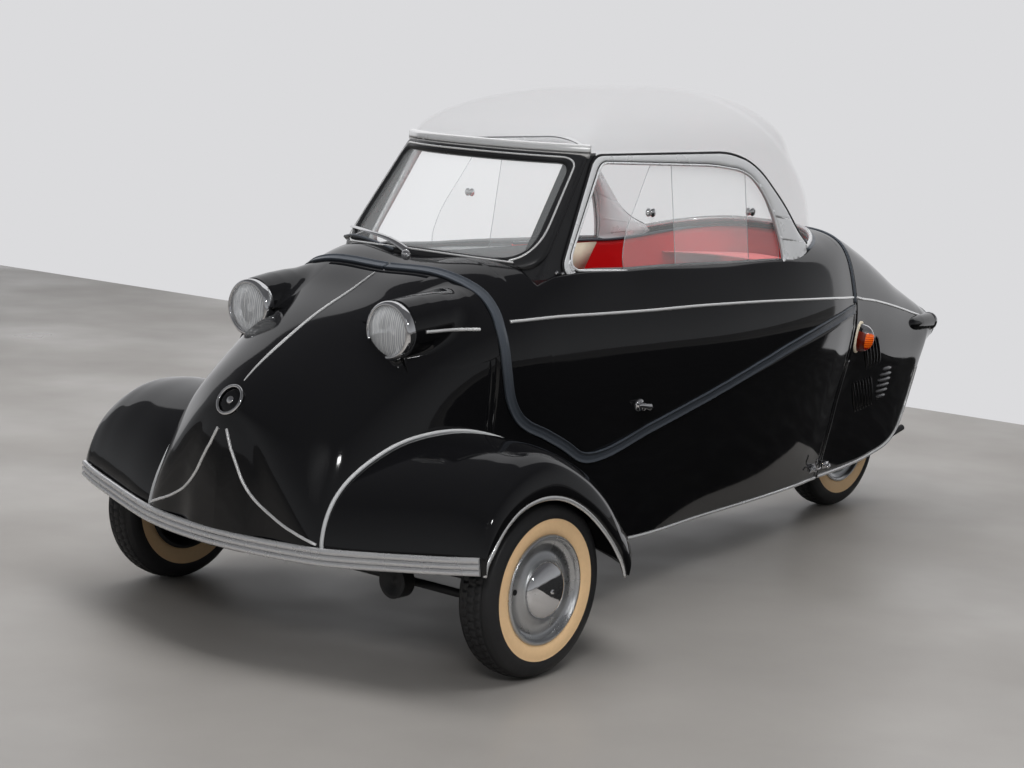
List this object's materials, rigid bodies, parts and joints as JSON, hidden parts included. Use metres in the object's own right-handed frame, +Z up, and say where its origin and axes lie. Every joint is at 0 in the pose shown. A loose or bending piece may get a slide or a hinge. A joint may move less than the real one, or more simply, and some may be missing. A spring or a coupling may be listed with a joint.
{
  "type": "bubble car",
  "caption": "Three-wheeled bubble car with a tandem cabin under a clear dome that opens sideways, steered front wheels and a lifting tail cover.",
  "frame": {"origin": "on the ground below the middle of the car's length and width", "axes": "+X forward, +Y to the car's left, +Z up"},
  "size_m": [2.82, 1.214, 1.1999],
  "materials": {
    "body_paint": "gloss black paint",
    "bright_strip": "ribbed bright aluminium",
    "chrome": "polished chrome",
    "seal_rubber": "black rubber",
    "clear_pane": "clear acrylic",
    "tyre": "black tread with a tan side wall",
    "wheel_silver": "silver paint",
    "chassis_black": "satin black paint",
    "black_plastic": "moulded grips and knobs",
    "red_vinyl": "red vinyl, lightly grained",
    "cast_alloy": "cast alloy",
    "amber_lens": "amber lens",
    "red_lens": "red lens"
  },
  "bodies": {
    "chassis": {"nose": "body_paint", "fender_left": "body_paint", "fender_right": "body_paint", "bumper_strip": "bright_strip", "headlamps": "chrome", "tub": "body_paint", "front_axle": "chassis_black", "steering_column": "chassis_black", "dashboard": "body_paint", "pedals": "chassis_black", "gear_lever": "black_plastic", "front_seat": "red_vinyl", "seat_frames": "chassis_black", "rear_seat": "red_vinyl", "rear_seat_back": "red_vinyl", "engine": "cast_alloy", "rear_fork": "chassis_black", "silencer": "chassis_black", "horn": "black_plastic"},
    "canopy": {"canopy_shell": "body_paint", "windscreen_frame": "seal_rubber", "windscreen": "clear_pane", "window_frame": "bright_strip", "window_left": "clear_pane", "window_right": "clear_pane", "dome": "clear_pane", "door_handle": "chrome", "wiper": "chrome"},
    "tail": {"tail_cover": "body_paint", "indicators": "amber_lens", "tail_lamps": "red_lens", "tail_latches": "chrome"},
    "steering": {"steering_bar": "chrome"},
    "track_rod": {"track_rod": "chassis_black"},
    "knuckle_left": {"knuckle_left": "chassis_black"},
    "knuckle_right": {"knuckle_right": "chassis_black"},
    "wheel_front_left": {"tyre_front_left": "tyre", "rim_front_left": "wheel_silver"},
    "wheel_front_right": {"tyre_front_right": "tyre", "rim_front_right": "wheel_silver"},
    "wheel_rear": {"tyre_rear": "tyre", "rim_rear": "wheel_silver"}
  },
  "joints": [
    {"name": "canopy_open", "type": "hinge", "parent": "chassis", "child": "canopy", "pos_m": [0.17, -0.372, 0.694], "axis": [1, 0, 0], "range_deg": [0, 80]},
    {"name": "tail_open", "type": "hinge", "parent": "chassis", "child": "tail", "pos_m": [-0.651, 0, 0.84], "axis": [0, 1, 0], "range_deg": [0, 60]},
    {"name": "steering_turn", "type": "hinge", "parent": "chassis", "child": "steering", "pos_m": [0.628, 0, 0.668], "axis": [-0.7071, 0, 0.7071], "range_deg": [-30, 30]},
    {"name": "steer_left", "type": "hinge", "parent": "chassis", "child": "knuckle_left", "pos_m": [1.02, 0.455, 0.19], "axis": [0, 0, 1], "range_deg": [-30.5, 30.5]},
    {"name": "steer_right", "type": "hinge", "parent": "chassis", "child": "knuckle_right", "pos_m": [1.02, -0.455, 0.19], "axis": [0, 0, 1], "range_deg": [-30.5, 30.5]},
    {"name": "track_rod_slide", "type": "slide", "parent": "chassis", "child": "track_rod", "axis": [0, 1, 0], "range_m": [-0.051, 0.051]},
    {"name": "wheel_front_left_spin", "type": "hinge", "parent": "knuckle_left", "child": "wheel_front_left", "pos_m": [1.02, 0.54, 0.19], "axis": [0, 1, 0], "continuous": true},
    {"name": "wheel_front_right_spin", "type": "hinge", "parent": "knuckle_right", "child": "wheel_front_right", "pos_m": [1.02, -0.54, 0.19], "axis": [0, 1, 0], "continuous": true},
    {"name": "wheel_rear_spin", "type": "hinge", "parent": "chassis", "child": "wheel_rear", "pos_m": [-1.01, 0, 0.19], "axis": [0, 1, 0], "continuous": true}
  ],
  "couplings": [
    {"joint": "steer_left", "follows": "steering_turn", "ratio": 1},
    {"joint": "steer_right", "follows": "steering_turn", "ratio": 1},
    {"joint": "track_rod_slide", "follows": "steering_turn", "m_per_rad": 0.0925}
  ]
}
